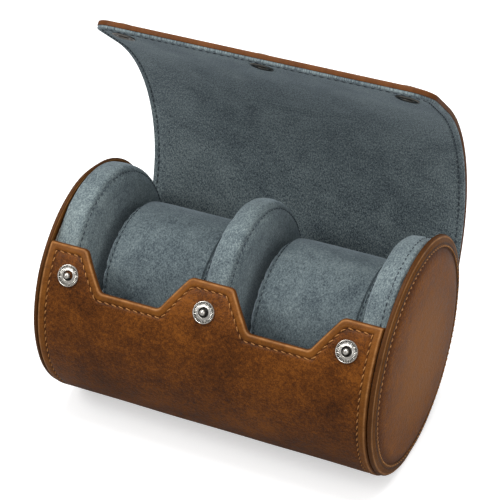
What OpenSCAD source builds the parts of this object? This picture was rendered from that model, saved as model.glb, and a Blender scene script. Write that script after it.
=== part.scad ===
// Two-watch roll case: a leather-covered drum with padded walls, two lift-out pillows
// and a soft flap that rolls over the top and snaps onto three studs at the front.
// X runs along the drum, -Y is the front, Z is up. The origin is on the floor, under the drum's axis.
// Angles round the drum start at its front and go up: 0 is the front, 90 the top, 180 the back.

/* [Drum] */
// Length over the two end rims
case_len = 150; // [130:1:200]
// Outside radius of the leather shell
shell_r = 50.7; // [48:0.1:60]
// Width of the flat that the case stands on
foot_w = 26; // [16:1:34]
// Thickness of the outer leather
leather_t = 1.6; // [1.2:0.1:2.2]
// Thickness of the stiffener board in the shell
board_t = 0.9; // [0.6:0.1:1.4]
// Thickness of the suede lining in the shell
lining_t = 0.9; // [0.6:0.1:1.4]
// Width of the leather turned over at the front edge
turned_edge = 3.7; // [2.5:0.1:6]

/* [Front edge] */
// Angle of the tabs' top edge
tab_deg = 46.4; // [42:0.1:50]
// Angle of the bottom of the two dips
dip_deg = 28.8; // [22:0.1:32]
// Half width of the middle tab at its top
mid_tab_half = 9.4; // [8:0.1:14]
// Distance from the middle to the near end of a dip's floor
dip_near = 19.6; // [17:0.1:24]
// Distance from the shell's end to the far end of a dip's floor
dip_from_end = 27; // [24:0.1:34]
// Width of an end tab at its top
end_tab_w = 16.8; // [12:0.1:20]
// Rounding of the front edge's corners
edge_corner = 1.8; // [0.8:0.1:3]

/* [Ends] */
// How far the end rims lie inside the shell's outside
rim_step = 0.5; // [0:0.1:2]
// Thickness of the end rims along the drum
rim_t = 2.2; // [1.5:0.1:3.5]
// Radial width of the end rims
rim_band = 3.6; // [2.5:0.1:5]
// Groove between the shell and a rim
rim_groove = 0.4; // [0.2:0.1:1]
// Thickness of an end panel's leather
panel_t = 1.3; // [0.9:0.1:2]
// Height of an end panel's dome above its border
dome_h = 2.9; // [1:0.1:5]
// Width of the flat border round an end panel
panel_border = 3.2; // [2:0.1:6]
// Thickness of the stiff board in an end wall
end_board_t = 1.8; // [1.2:0.1:3]

/* [Walls] */
// Thickness of an end wall
end_wall_t = 11.2; // [9:0.1:14]
// Thickness of the middle wall
mid_wall_t = 11.4; // [9:0.1:14]
// Clearance round a wall inside the lining
wall_clear = 0.4; // [0.3:0.05:1]
// Thickness of the suede over the foam
cover_t = 1; // [0.7:0.1:1.4]
// Rounding of the padded edges
wall_round = 3; // [2:0.1:3.4]
// Crown of the padded faces
wall_crown = 0.7; // [0.2:0.1:1.5]
// Thickness of the board in the middle wall
mid_board_t = 1.5; // [1:0.1:2.5]
// Depth of the seam grooves in the padding
seam_dip = 0.5; // [0.2:0.05:0.8]
// Distance of the right wall's seam from the rim
rim_seam = 3.4; // [2.5:0.1:4.5]

/* [Pillows] */
// Gap between a pillow and the wall on each side
pillow_side_gap = 5.2; // [2:0.1:8]
// Radius of a pillow's round top and bottom
pillow_r = 31.5; // [26:0.1:33]
// Height of the pillow's top above the drum's axis
pillow_top = 33.5; // [28:0.1:38]
// How far a pillow sits behind the middle
pillow_back = 1.5; // [0:0.1:3]
// Clearance under a pillow
pillow_clear = 0.3; // [0.25:0.05:0.8]

/* [Flap] */
// Length of the flap from its fold to its tip
flap_len = 135.5; // [125:0.5:150]
// Number of strips that the flap bends between
flap_strips = 7; // [7:7]
// Thickness of the flap's doubled leather
flap_leather_t = 2.2; // [1.5:0.1:2.6]
// Thickness of the flap's suede lining
flap_lining_t = 1.3; // [0.8:0.1:1.8]
// How far the open flap leans back at its fold
lean_deg = 29.5; // [15:0.5:35]
// Bend radius of the open flap's lower part
low_bend_r = 68; // [55:1:90]
// Angle that the open flap's lower part turns through
low_turn = 36; // [25:0.5:40]
// Bend radius of the open flap's upper part
high_bend_r = 87; // [70:1:110]
// Angle that the open flap's upper part turns through
high_turn = 43; // [35:0.5:46]
// How far the flap can fold back past its open place
fold_back = 20; // [5:1:30]
// Rounding of the flap's two tip corners
tip_corner = 9; // [4:0.5:14]
// Gap between two strips
strip_gap = 0.3; // [0.25:0.05:0.5]

/* [Snaps] */
// Angle of the studs on the front
stud_deg = 32.4; // [30:0.1:36]
// Distance of the outer studs from the shell's ends
stud_from_end = 11.8; // [9:0.1:13.5]
// Distance of the sockets from the flap's tip
socket_from_tip = 9; // [7.5:0.1:14]
// Radius of a stud's flange
stud_flange_r = 4.6; // [4:0.1:5.2]
// Thickness of a stud's flange
stud_flange_t = 0.9; // [0.6:0.1:1.2]
// Radius of a stud's ball
ball_r = 1.9; // [1.6:0.05:2.2]
// Height of a stud's ball above its flange
ball_h = 2.9; // [2.4:0.1:3]
// Running clearance round the ball and the rivets
snap_clear = 0.35; // [0.3:0.05:0.5]
// Radius of a socket's flange
socket_flange_r = 4.8; // [4.2:0.1:5.4]
// How far a socket stands out of the lining
socket_proud = 0.5; // [0.3:0.1:0.8]
// Radius of the caps on the flap's outside
cap_r = 5.4; // [4.8:0.1:6]
// Height of the caps on the flap's outside
cap_h = 1.3; // [0.8:0.1:2]
// Radius of the snap rivets
rivet_r = 1.1; // [0.8:0.05:1.2]

/* [Hidden] */
axis_h = sqrt(shell_r * shell_r - foot_w * foot_w / 4);
board_r = shell_r - leather_t;
lining_r = board_r - board_t;
inside_r = lining_r - lining_t;
wall_r = inside_r - wall_clear;
rim_r = shell_r - rim_step;
rim_x = case_len / 2 - rim_t;
shell_half = rim_x - rim_groove;
flap_half = shell_half;
flap_t = flap_leather_t + flap_lining_t;

// The front edge is drawn flat, in a plane square to this angle
edge_mid = (tab_deg + dip_deg) / 2;
tab_v = shell_r * sin(tab_deg - edge_mid);
dip_v = -tab_v;
dip_far = shell_half - dip_from_end;
end_tab_near = shell_half - end_tab_w;
edge_reach = case_len;
edge_above = shell_r / 2;

low_len = low_bend_r * low_turn * PI / 180;
high_len = high_bend_r * high_turn * PI / 180;
strip_len = flap_len / flap_strips;
socket_s = flap_len - socket_from_tip;
stud_x = shell_half - stud_from_end;
snap_x = [-stud_x, 0, stud_x];

// A stud sits in a shallow seat cut flat into the round shell
touch = 0.02;
stud_seat = flat_seat(shell_r, stud_flange_r) - 2 * touch;
seat_clear = 0.1;
rivet_fit = 0.05;
rivet_head_r = 3.6;
rivet_head_t = 0.5;
rivet_head_at = flat_seat(board_r, rivet_head_r) - touch;
stud_edge_r = stud_flange_t / 2;
stud_plate_t = 0.6 * stud_flange_t;
stud_neck_r = 0.8 * ball_r;
stud_top = stud_flange_t + ball_h;
stud_bore_h = stud_flange_t + ball_h / 2;

socket_body_r = 3.2;
socket_bore_r = ball_r + snap_clear;
socket_back_t = 0.4;
socket_edge_r = (socket_proud - touch) / 2;
spring_wire = 0.25;
spring_ring_r = socket_bore_r + 0.1;
spring_deep = 2 * spring_wire;
spring_groove = 2.6 * spring_wire;
cap_steps = 8;
socket_depth = flap_t - 0.5;

// Distance from the axis of a flat that meets a round of radius r at half width w
function flat_seat(r, w) = sqrt(r * r - w * w);

bay_near = mid_wall_t / 2;
bay_far = case_len / 2 - rim_t - end_wall_t;
pillow_w = bay_far - bay_near - 2 * pillow_side_gap;
pillow_x = (bay_near + bay_far) / 2;
pillow_low = -flat_at(inside_r) + pillow_clear;

FINE = 96;
SMALL = 40;
BIG = 400;

// Placing

// Lifts what is drawn round the drum's axis to its height over the floor
module in_case() {
    translate([0, 0, axis_h]) children();
}

// Draws a section of the drum, seen from its right end, along X
module along_x(x0, x1) {
    translate([x0, 0, 0]) rotate([90, 0, 90]) linear_extrude(x1 - x0) children();
}

// Turns a half outline (radius, place along X) round the drum's axis
module turned() {
    rotate([0, 90, 0]) rotate_extrude($fn = FINE) children();
}

// Turns Z to point straight out of the drum at an angle
module facing(deg) {
    rotate([90 - deg, 0, 0]) children();
}

// How far below the axis the flat of a layer of this radius lies
function flat_at(r) = axis_h - (shell_r - r);

// The drum's section at a radius: round, with a flat underneath
module drum_section(r) {
    intersection() {
        circle(r, $fn = FINE);
        translate([-r, -flat_at(r)]) square([2 * r, 2 * r]);
    }
}

// Keeps what lies above the flat of a layer of this radius
module above_flat(r) {
    intersection() {
        children();
        translate([-BIG / 2, -BIG / 2, -flat_at(r)]) cube(BIG);
    }
}

// Front edge of the shell

function unit(v) = v / norm(v);

// A corner at b rounded by a short curve that starts and ends at distance r from it
function soft_corner(a, b, c, r) = let (p = b + r * unit(a - b), q = b + r * unit(c - b))
    [for (k = [0:4]) let (t = k / 4) (1 - t) * (1 - t) * p + 2 * t * (1 - t) * b + t * t * q];

// Sideways shift of a slanted edge's corners for each millimetre that the edge moves in
function slant(dx) = (norm([dx, tab_v - dip_v]) - dx) / (tab_v - dip_v);

// The right half of the front edge, from the middle outwards, moved in by i
function edge_right(i) = let (
    near = slant(dip_near - mid_tab_half) * i,
    far = slant(end_tab_near - dip_far) * i)
    [[mid_tab_half - near, tab_v - i], [dip_near - near, dip_v - i],
     [dip_far + far, dip_v - i], [end_tab_near + far, tab_v - i]];

function mirrored(pts) = [for (k = [len(pts) - 1:-1:0]) [-pts[k][0], pts[k][1]]];

// The whole opening above the front edge as one closed outline
function mouth_outline(i) = let (
    line = concat([[-edge_reach, tab_v - i]], mirrored(edge_right(i)), edge_right(i),
        [[edge_reach, tab_v - i]]),
    n = len(line))
    concat([line[0]],
        [for (k = [1:n - 2]) each soft_corner(line[k - 1], line[k], line[k + 1], edge_corner)],
        [line[n - 1], [edge_reach, edge_above], [-edge_reach, edge_above]]);

// Everything that is open above the front edge and in front of the flap's fold
module mouth(i) {
    far = 2 * shell_r;
    back = flap_at(0) - strip_gap / 2 * flap_way(0);
    facing(edge_mid) translate([0, 0, shell_r / 2]) linear_extrude(shell_r) polygon(mouth_outline(i));
    along_x(-edge_reach, edge_reach) polygon(concat(
        [[0, 0]],
        [for (a = [60, 100, 140]) far * [-cos(a), sin(a)]],
        [back + far * flap_out(0), back]));
}

// Flap

// Direction of the open flap at a distance along it from the fold
function flap_deg(s) = 90 - lean_deg + (s < low_len ? low_turn * s / low_len
    : low_turn + high_turn * min((s - low_len) / high_len, 1));
function flap_way(s) = [cos(flap_deg(s)), sin(flap_deg(s))];
function flap_out(s) = [sin(flap_deg(s)), -cos(flap_deg(s))];

// A point on the flap's inside, along two bends and then straight
function arc_step(p, deg, r, turn) = p + r * [sin(deg + turn) - sin(deg), cos(deg) - cos(deg + turn)];
function flap_fold_point() = [inside_r, 0];
function flap_at(s) = s <= low_len
    ? arc_step(flap_fold_point(), 90 - lean_deg, low_bend_r, low_turn * s / low_len)
    : s <= low_len + high_len
        ? arc_step(flap_at(low_len), flap_deg(low_len), high_bend_r, high_turn * (s - low_len) / high_len)
        : flap_at(low_len + high_len) + (s - low_len - high_len) * flap_way(s);
function flap_layer_at(s, h) = flap_at(s) + h * flap_out(s);

// Where strip k starts and ends at a height h above the lining's face
function strip_start(k, h) = k * strip_len + strip_gap / 2 + (k == 0 ? h * tan(fold_back) : 0);
function strip_end(k) = (k + 1) * strip_len - (k == flap_strips - 1 ? 0 : strip_gap / 2);

// Puts what is drawn flat onto the flap: Y towards the tip and Z into the case
module on_flap(s) {
    p = flap_at(s);
    translate([0, p[0], p[1]]) rotate([flap_deg(s), 0, 0]) children();
}

// One strip of one layer, between two heights over the lining's face
module strip(k, h0, h1) {
    steps = 8;
    low = [for (j = [0:steps]) flap_layer_at(strip_start(k, h0)
        + (strip_end(k) - strip_start(k, h0)) * j / steps, h0)];
    high = [for (j = [steps:-1:0]) flap_layer_at(strip_start(k, h1)
        + (strip_end(k) - strip_start(k, h1)) * j / steps, h1)];
    along_x(-flap_half, flap_half) polygon(concat(low, high));
}

// The outline of the flap's tip with its two round corners, as far back as one strip
module tip_outline() {
    inner = flap_half - tip_corner;
    translate([-flap_half, -strip_len]) square([2 * flap_half, strip_len - tip_corner]);
    translate([-inner, -strip_len]) square([2 * inner, strip_len]);
    for (side = [-1, 1]) translate([side * inner, -tip_corner]) circle(tip_corner, $fn = SMALL);
}

// One layer of strip k, where the last strip has the tip's outline
module flap_layer(k, h0, h1) {
    if (k < flap_strips - 1) {
        strip(k, h0, h1);
    } else {
        intersection() {
            strip(k, h0, h1);
            on_flap(flap_len) translate([0, 0, -2 * flap_t]) linear_extrude(4 * flap_t) tip_outline();
        }
    }
}

// Round holes for the three sockets, between two heights over the lining's face
module socket_holes(r, low, high) {
    for (x = snap_x) on_flap(socket_s) translate([x, 0, low]) cylinder(h = high - low, r = r, $fn = SMALL);
}

module flap_leather(k) {
    color("sienna") in_case() if (k < flap_strips - 1) {
        flap_layer(k, flap_lining_t, flap_t);
    } else {
        difference() {
            flap_layer(k, flap_lining_t, flap_t);
            socket_holes(socket_body_r + rivet_fit, -socket_depth, flap_t);
            socket_holes(rivet_r + rivet_fit, -2 * flap_t, flap_t);
        }
    }
}

module flap_lining(k) {
    color("slategray") in_case() if (k < flap_strips - 1) {
        flap_layer(k, 0, flap_lining_t);
    } else {
        difference() {
            flap_layer(k, 0, flap_lining_t);
            socket_holes(socket_body_r + rivet_fit, -2 * flap_t, flap_t);
        }
    }
}

// Shell

module shell_layer(r, t, half) {
    along_x(-half, half) difference() {
        drum_section(r);
        drum_section(r - t);
    }
}

// The leather wraps the drum, and its front edge is turned over to the full thickness of the shell
module shell_leather() {
    color("sienna") in_case() difference() {
        union() {
            difference() {
                shell_layer(shell_r, leather_t, shell_half);
                mouth(0);
            }
            intersection() {
                difference() {
                    shell_layer(board_r, board_t + lining_t, shell_half);
                    mouth(0);
                }
                mouth(turned_edge);
            }
        }
        for (x = snap_x) facing(stud_deg) translate([x, 0, 0]) {
            translate([0, 0, stud_seat]) cylinder(h = leather_t, r = stud_flange_r + seat_clear, $fn = SMALL);
            cylinder(h = shell_r, r = rivet_r + rivet_fit, $fn = SMALL);
        }
    }
}

module shell_board() {
    color("tan") in_case() difference() {
        shell_layer(board_r, board_t, shell_half - turned_edge);
        mouth(turned_edge);
        for (x = snap_x) facing(stud_deg) translate([x, 0, 0])
            cylinder(h = shell_r, r = rivet_head_r + rivet_fit, $fn = SMALL);
    }
}

module shell_lining() {
    color("slategray") in_case() difference() {
        shell_layer(lining_r, lining_t, shell_half);
        mouth(turned_edge);
    }
}

// Padded walls

// Half outline of a padded disc: crowned faces, rounded edges and a seam groove at each place in seams
seam_set = 0.1;
edge_steps = 6;
face_steps = 5;
function pad_edge(r, x, round, crown, way) = [for (k = [0:edge_steps]) let (a = 90 * k / edge_steps)
    [r - round + round * sin(a), x + way * (crown + round * (1 - cos(a)))]];
function pad_face(r, x, round, crown, way) = [for (k = [0:face_steps - 1]) let (q = k / face_steps)
    [(r - round) * q, x + way * crown * q * q]];
function reversed(pts) = [for (k = [len(pts) - 1:-1:0]) pts[k]];
function pad_seam(r, x) = [[r, x - seam_dip], [r - seam_dip, x], [r, x + seam_dip]];
function pad_outline(r, x0, x1, round0, round1, crown0, crown1, seams) = concat(
    pad_face(r, x0, round0, crown0, 1), pad_edge(r, x0, round0, crown0, 1),
    [for (x = seams) each pad_seam(r, x)],
    reversed(pad_edge(r, x1, round1, crown1, -1)),
    reversed(pad_face(r, x1, round1, crown1, -1)));

// Distance from a wall's face to the seam beside its rounded edge
face_seam = wall_crown + wall_round + seam_dip + seam_set;

// The end walls stand between the bays and the end panels, and their outer side is flat
end_wall_x = rim_x - end_wall_t;
outer_round = 1.2;
inner_round = 0.3;

module end_wall_pad(skin, seams = []) {
    above_flat(wall_r - skin) turned() polygon(pad_outline(wall_r - skin, end_wall_x + skin, rim_x - skin,
        wall_round - skin, skin == 0 ? outer_round : inner_round, wall_crown, 0, seams));
}

module end_wall_cover(seam_x) {
    color("slategray") in_case() difference() {
        end_wall_pad(0, [seam_x]);
        end_wall_pad(cover_t);
    }
}

end_board_x = rim_x - cover_t - end_board_t;

module end_wall_foam() {
    color("gainsboro") in_case() intersection() {
        end_wall_pad(cover_t);
        translate([end_board_x - BIG, -BIG / 2, -BIG / 2]) cube(BIG);
    }
}

module end_board() {
    color("tan") in_case() intersection() {
        end_wall_pad(cover_t);
        translate([end_board_x, -BIG / 2, -BIG / 2]) cube(BIG);
    }
}

module middle_wall_pad(skin, seams = []) {
    half = mid_wall_t / 2 - skin;
    above_flat(wall_r - skin) turned() polygon(pad_outline(wall_r - skin, -half, half,
        wall_round - skin, wall_round - skin, wall_crown, wall_crown, seams));
}

module middle_wall_cover() {
    color("slategray") in_case() difference() {
        middle_wall_pad(0, [mid_wall_t / 2 - face_seam]);
        middle_wall_pad(cover_t);
    }
}

module middle_wall_board() {
    color("tan") in_case() intersection() {
        middle_wall_pad(cover_t);
        translate([-mid_board_t / 2, -BIG / 2, -BIG / 2]) cube([mid_board_t, BIG, BIG]);
    }
}

module middle_wall_foam() {
    color("gainsboro") in_case() difference() {
        middle_wall_pad(cover_t);
        translate([-mid_board_t / 2, -BIG / 2, -BIG / 2]) cube([mid_board_t, BIG, BIG]);
    }
}

// Ends

panel_r = rim_r - rim_band;
border_inset = 0.7;
border_x = case_len / 2 - border_inset;
dome_steps = 8;
over = 1;

// A dome of leather with a flat border, over a thin foam pad
function dome_outline(r, x, h) = concat([for (k = [0:dome_steps]) let (q = k / dome_steps)
    [(r - panel_border) * q, x + h * (1 - q * q)]], [[r, x]]);

module end_panel() {
    color("sienna") in_case() above_flat(shell_r) difference() {
        turned() polygon(concat([[0, rim_x]], dome_outline(panel_r, border_x, dome_h), [[panel_r, rim_x]]));
        turned() polygon(concat([[0, rim_x - over], [0, rim_x]],
            dome_outline(panel_r - panel_t, border_x - panel_t, dome_h),
            [[panel_r - panel_t, rim_x - over]]));
    }
}

module end_pad() {
    color("gainsboro") in_case() turned() polygon(concat([[0, rim_x]],
        dome_outline(panel_r - panel_t, border_x - panel_t, dome_h), [[panel_r - panel_t, rim_x]]));
}

// The rim is a leather-covered band with a rounded outer edge
bead_steps = 8;
module end_rim() {
    bead = rim_t / 2;
    color("peru") in_case() above_flat(shell_r) turned() polygon(concat(
        [[panel_r, rim_x + rim_t], [panel_r, rim_x]],
        [for (k = [0:bead_steps]) let (a = 180 * k / bead_steps - 90)
            [rim_r - bead + bead * cos(a), rim_x + bead + bead * sin(a)]]));
}

module on_left() {
    mirror([1, 0, 0]) children();
}

// Pillows

// One ring of the pillow: an upright oval moved in by e, at a place along X
pillow_sides = 32;
function pillow_ring(x, e) = [for (k = [0:pillow_sides - 1])
    let (a = 360 * (k + 0.5) / pillow_sides, high = pillow_top - pillow_r, low = pillow_low + pillow_r)
    [x, pillow_back + (pillow_r - e) * cos(a), (a < 180 ? high : low) + (pillow_r - e) * sin(a)]];

// Half of the pillow's outline along X: distance in from its end, and how far the oval is drawn in there
pillow_rows = [[0.1, 26], [0.3, 17], [0.8, 9], [1.3, 5], [2.1, 2.6], [3.1, 1.5], [3.7, 1.3 + seam_dip],
    [4.3, 1.2], [7, 0.6], [12, 0.2]];
core_rows = [[0.3, 17], [0.8, 9], [1.6, 4.2], [3.2, 1.8], [8, 0.6], [14, 0.2]];

// A closed skin over rings of points, with its two ends closed by fans
module ring_skin(rings) {
    n = len(rings);
    m = len(rings[0]);
    first = n * m;
    last = first + 1;
    middles = [for (r = [rings[0], rings[n - 1]]) (r[0] + r[m / 2]) / 2];
    sides = [for (i = [0:n - 2]) for (j = [0:m - 1]) let (a = i * m + j, b = i * m + (j + 1) % m)
        each [[b + m, b, a], [a + m, b + m, a]]];
    near_end = [for (j = [0:m - 1]) [first, j, (j + 1) % m]];
    far_end = [for (j = [0:m - 1]) [last, (n - 1) * m + (j + 1) % m, (n - 1) * m + j]];
    polyhedron(concat([for (r = rings) each r], middles), concat(sides, near_end, far_end));
}

module pillow_body(skin, rows) {
    half = pillow_w / 2 - skin;
    rings = concat([for (r = rows) pillow_ring(pillow_x - half + r[0], r[1] + skin)],
        [pillow_ring(pillow_x, skin)],
        [for (k = [len(rows) - 1:-1:0]) pillow_ring(pillow_x + half - rows[k][0], rows[k][1] + skin)]);
    ring_skin(rings);
}

module pillow_cover() {
    color("slategray") in_case() difference() {
        pillow_body(0, pillow_rows);
        pillow_body(cover_t, core_rows);
    }
}

module pillow_foam() {
    color("gainsboro") in_case() pillow_body(cover_t, core_rows);
}

// Snaps

// A stud has a plate with a raised rim, a neck and a ball, and is hollow for its rivet
module snap_studs() {
    color("silver") in_case() for (x = snap_x) facing(stud_deg) translate([x, 0, stud_seat])
        rotate_extrude($fn = SMALL) difference() {
            union() {
                square([stud_flange_r, stud_plate_t]);
                translate([stud_flange_r - stud_edge_r, stud_edge_r]) circle(stud_edge_r, $fn = SMALL);
                square([stud_neck_r, stud_top - ball_r]);
                intersection() {
                    translate([0, stud_top - ball_r]) circle(ball_r, $fn = SMALL);
                    square([ball_r, stud_top]);
                }
            }
            translate([0, -over]) square([rivet_r + rivet_fit, over + stud_bore_h]);
        }
}

// A rivet's flat head lies under the board, and its shank stands inside the stud
module snap_rivets() {
    shank_low = rivet_head_at - rivet_head_t / 2;
    shank_high = stud_seat + stud_bore_h - seat_clear;
    color("silver") in_case() for (x = snap_x) facing(stud_deg) translate([x, 0, 0])
        rotate_extrude($fn = SMALL) {
            translate([0, rivet_head_at - rivet_head_t]) square([rivet_head_r, rivet_head_t]);
            translate([0, shank_low]) square([rivet_r, shank_high - shank_low]);
        }
}

// A socket has a flange on the lining and a cup sunk into the flap
module snap_sockets() {
    color("dimgray") in_case() for (x = snap_x) on_flap(socket_s) translate([x, 0, 0])
        rotate_extrude($fn = SMALL) difference() {
            union() {
                translate([0, touch]) square([socket_flange_r - socket_edge_r, 2 * socket_edge_r]);
                translate([socket_flange_r - socket_edge_r, touch + socket_edge_r])
                    circle(socket_edge_r, $fn = SMALL);
                translate([0, -socket_depth]) square([socket_body_r, socket_depth + socket_edge_r]);
            }
            translate([0, socket_back_t - socket_depth]) square([socket_bore_r, flap_t + socket_proud]);
            translate([spring_ring_r, -spring_deep]) square(spring_groove, center = true);
        }
}

// The wire ring in a socket's groove that grips the ball
module snap_springs() {
    color("gray") in_case() for (x = snap_x) on_flap(socket_s) translate([x, 0, -spring_deep])
        rotate_extrude($fn = SMALL) translate([spring_ring_r, 0]) circle(spring_wire, $fn = 16);
}

// A domed cap lies on the flap's outside, and its post meets the socket's back
module snap_caps() {
    color("silver") in_case() for (x = snap_x) on_flap(socket_s) translate([x, 0, -flap_t])
        rotate_extrude($fn = SMALL) {
            translate([0, -cap_h / 2]) square([rivet_r, flap_t - socket_depth + cap_h / 2 - touch]);
            translate([0, -touch]) polygon(concat([[0, 0]],
                [for (k = [0:cap_steps]) let (a = 90 * k / cap_steps) [cap_r * sin(a), -cap_h * cos(a)]]));
        }
}

shell_leather();
shell_board();
shell_lining();
on_left() end_wall_cover(end_wall_x + face_seam);  // left_end_wall_cover
on_left() end_wall_foam();  // left_end_wall_foam
on_left() end_board();  // left_end_board
on_left() end_pad();  // left_end_pad
on_left() end_panel();  // left_end_panel
on_left() end_rim();  // left_end_rim
end_wall_cover(rim_x - rim_seam);  // right_end_wall_cover
end_wall_foam();  // right_end_wall_foam
end_board();  // right_end_board
end_pad();  // right_end_pad
end_panel();  // right_end_panel
end_rim();  // right_end_rim
middle_wall_cover();
middle_wall_foam();
middle_wall_board();
on_left() pillow_cover();  // left_pillow_cover
on_left() pillow_foam();  // left_pillow_foam
pillow_cover();  // right_pillow_cover
pillow_foam();  // right_pillow_foam
snap_studs();
snap_rivets();
snap_sockets();
snap_springs();
snap_caps();
flap_leather(0);  // flap_leather_1
flap_leather(1);  // flap_leather_2
flap_leather(2);  // flap_leather_3
flap_leather(3);  // flap_leather_4
flap_leather(4);  // flap_leather_5
flap_leather(5);  // flap_leather_6
flap_leather(6);  // flap_leather_7
flap_lining(0);  // flap_lining_1
flap_lining(1);  // flap_lining_2
flap_lining(2);  // flap_lining_3
flap_lining(3);  // flap_lining_4
flap_lining(4);  // flap_lining_5
flap_lining(5);  // flap_lining_6
flap_lining(6);  // flap_lining_7
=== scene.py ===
import math

import bmesh
import bpy
import numpy as np
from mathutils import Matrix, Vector


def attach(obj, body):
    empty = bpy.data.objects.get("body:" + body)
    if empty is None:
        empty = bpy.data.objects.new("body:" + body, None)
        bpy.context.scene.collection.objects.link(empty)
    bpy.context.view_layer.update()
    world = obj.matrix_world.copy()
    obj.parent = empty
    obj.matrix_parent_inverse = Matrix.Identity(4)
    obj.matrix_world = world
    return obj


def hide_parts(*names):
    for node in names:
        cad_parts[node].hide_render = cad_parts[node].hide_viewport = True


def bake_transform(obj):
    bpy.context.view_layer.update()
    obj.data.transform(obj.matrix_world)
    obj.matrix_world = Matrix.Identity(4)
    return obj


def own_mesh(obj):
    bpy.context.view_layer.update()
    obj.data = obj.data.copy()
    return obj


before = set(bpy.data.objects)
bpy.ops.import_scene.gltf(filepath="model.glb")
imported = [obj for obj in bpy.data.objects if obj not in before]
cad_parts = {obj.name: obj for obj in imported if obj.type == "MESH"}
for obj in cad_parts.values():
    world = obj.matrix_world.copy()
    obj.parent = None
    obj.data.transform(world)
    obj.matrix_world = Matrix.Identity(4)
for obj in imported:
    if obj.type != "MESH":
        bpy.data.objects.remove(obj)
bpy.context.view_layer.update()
scene = bpy.context.scene
join = np.concatenate

# Camera
# The case is seen from its right front and from above, through a long lens with nothing tilted.
# Its place was worked out from the photograph's end discs and front edge, for a drum 150 mm long.
MM = 0.001
view_azimuth = math.radians(24.67)
view_elevation = math.radians(34.11)
view_distance = 791.6 * MM
looked_at = Vector((-0.03, 0.64, 79.05)) * MM
towards_camera = Vector((
    math.sin(view_azimuth) * math.cos(view_elevation),
    -math.cos(view_azimuth) * math.cos(view_elevation),
    math.sin(view_elevation)))
camera = bpy.data.objects.new("camera", bpy.data.cameras.new("camera"))
camera.data.sensor_width = 36
camera.data.lens = 139.64
camera.data.clip_start = 0.01
camera.location = looked_at + view_distance * towards_camera
camera.rotation_euler = towards_camera.to_track_quat("Z", "Y").to_euler()
scene.collection.objects.link(camera)
scene.camera = camera

# Leather shell
# One sheet of waxed pull-up leather is glued round a board drum. Its front edge is cut into three
# tabs and two dips, rolled over the board and sewn down, and its two ends are turned in the same way.
SHELL_R = 50.7 * MM
FOOT_W = 26 * MM
AXIS_H = math.sqrt(SHELL_R ** 2 - FOOT_W ** 2 / 4)
SHELL_HALF = 72.4 * MM
LEATHER_T = 1.6 * MM
SHELL_T = 3.4 * MM
HEM = 3.7 * MM
tab_deg = 46.4
dip_deg = 28.8
edge_mid = math.radians((tab_deg + dip_deg) / 2)
tab_v = SHELL_R * math.sin(math.radians(tab_deg - dip_deg) / 2)
mid_tab_half = 9.4 * MM
dip_near = 19.6 * MM
dip_far = 45.4 * MM
end_tab_near = 55.6 * MM
edge_corner = 1.8 * MM
FOLD_JOIN = 4 * MM
RUN_STEPS = (16, 24, 16, 18, 16, 24, 16)


def together(*parts):
    """Numbers and arrays as one array, with the parts along its last side."""
    return np.stack(np.broadcast_arrays(*parts), -1)


def shell_point(x, angle, radius):
    """A point of the drum: angle is 0 at the flap's fold, grows down the back, under it and up the front.
    The underside is pressed flat, so no point lies lower than its layer's own flat, or the floor."""
    low = np.maximum(SHELL_R - radius, 0)
    return together(x, radius * np.cos(angle), np.maximum(AXIS_H - radius * np.sin(angle), low))


def front_angle(v, radius):
    """The drum angle of a height v in the plane in which the front edge is drawn."""
    return np.pi + edge_mid + np.arcsin(v / radius)


def quarter(a, b, c, reach, count):
    """A corner at b as a short curve between points at a reach from it: (1-t)^2 p + 2t(1-t) b + t^2 q."""
    p = b + reach * (a - b) / np.linalg.norm(a - b)
    q = b + reach * (c - b) / np.linalg.norm(c - b)
    t = np.linspace(0, 1, count)[:, None]
    return (1 - t) ** 2 * p + 2 * t * (1 - t) * b + t ** 2 * q


def front_edge(inset):
    """The front edge moved in by inset, from the left end to the right, as points (x, v):
    straight runs between rounded corners, with as many points for every inset."""
    def slant(run):
        return (math.hypot(run, 2 * tab_v) - run) / (2 * tab_v)
    near = slant(dip_near - mid_tab_half) * inset
    far = slant(end_tab_near - dip_far) * inset
    half = np.array([
        [mid_tab_half - near, tab_v - inset], [dip_near - near, -tab_v - inset],
        [dip_far + far, -tab_v - inset], [end_tab_near + far, tab_v - inset], [SHELL_HALF, tab_v - inset]])
    corners = join([half[::-1] * [-1, 1], half])
    end_steps = MM * np.array([
        0, 0.1, 0.25, 0.45, 0.7, 1.0, 1.4, 1.9, 2.4, 2.8, 3.15, 3.45, 3.7, 3.95, 4.3, 4.8, 5.5])
    turns = [quarter(corners[k - 1], corners[k], corners[k + 1], edge_corner, 8) for k in range(1, 9)]
    inner = np.linspace(0, 1, 9)[1:-1]
    ends = corners[0, 0] + end_steps
    left_x = join([ends, ends[-1] * (1 - inner) + turns[0][0, 0] * inner])
    left = together(left_x, tab_v - inset)
    runs = [left]
    for k in range(8):
        runs.append(turns[k])
        if k < 7:
            a, b = turns[k][-1], turns[k + 1][0]
            t = np.linspace(0, 1, RUN_STEPS[k])
            runs.append(a + (b - a) * t[1:-1, None])
    runs.append(left[::-1] * [-1, 1])
    return join(runs)


def sewn(distance, line):
    """Height of a turned edge sewn along a line: a puffed roll, then a narrow groove under the thread."""
    groove = -0.42 * MM * np.exp(-((distance - line) / (0.6 * MM)) ** 2)
    puff = 0.08 * MM * np.sin(np.pi * np.clip(distance / line, 0, 1)) ** 0.7
    return groove + puff


def rounded(distance, radius):
    """Height of a quarter round: -radius at the edge itself, 0 from one radius in."""
    q = np.clip(distance / radius, 0, 1)
    return radius * (np.sqrt(1 - (1 - q) ** 2) - 1)


def unevenness(x, s, size):
    """A slight unevenness of glued leather: a sum of three waves across each other."""
    return size * (np.sin(61 * x + 40 * s + 1) + np.sin(95 * s - 33 * x) + np.sin(140 * x + 88 * s + 2)) / 3


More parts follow.
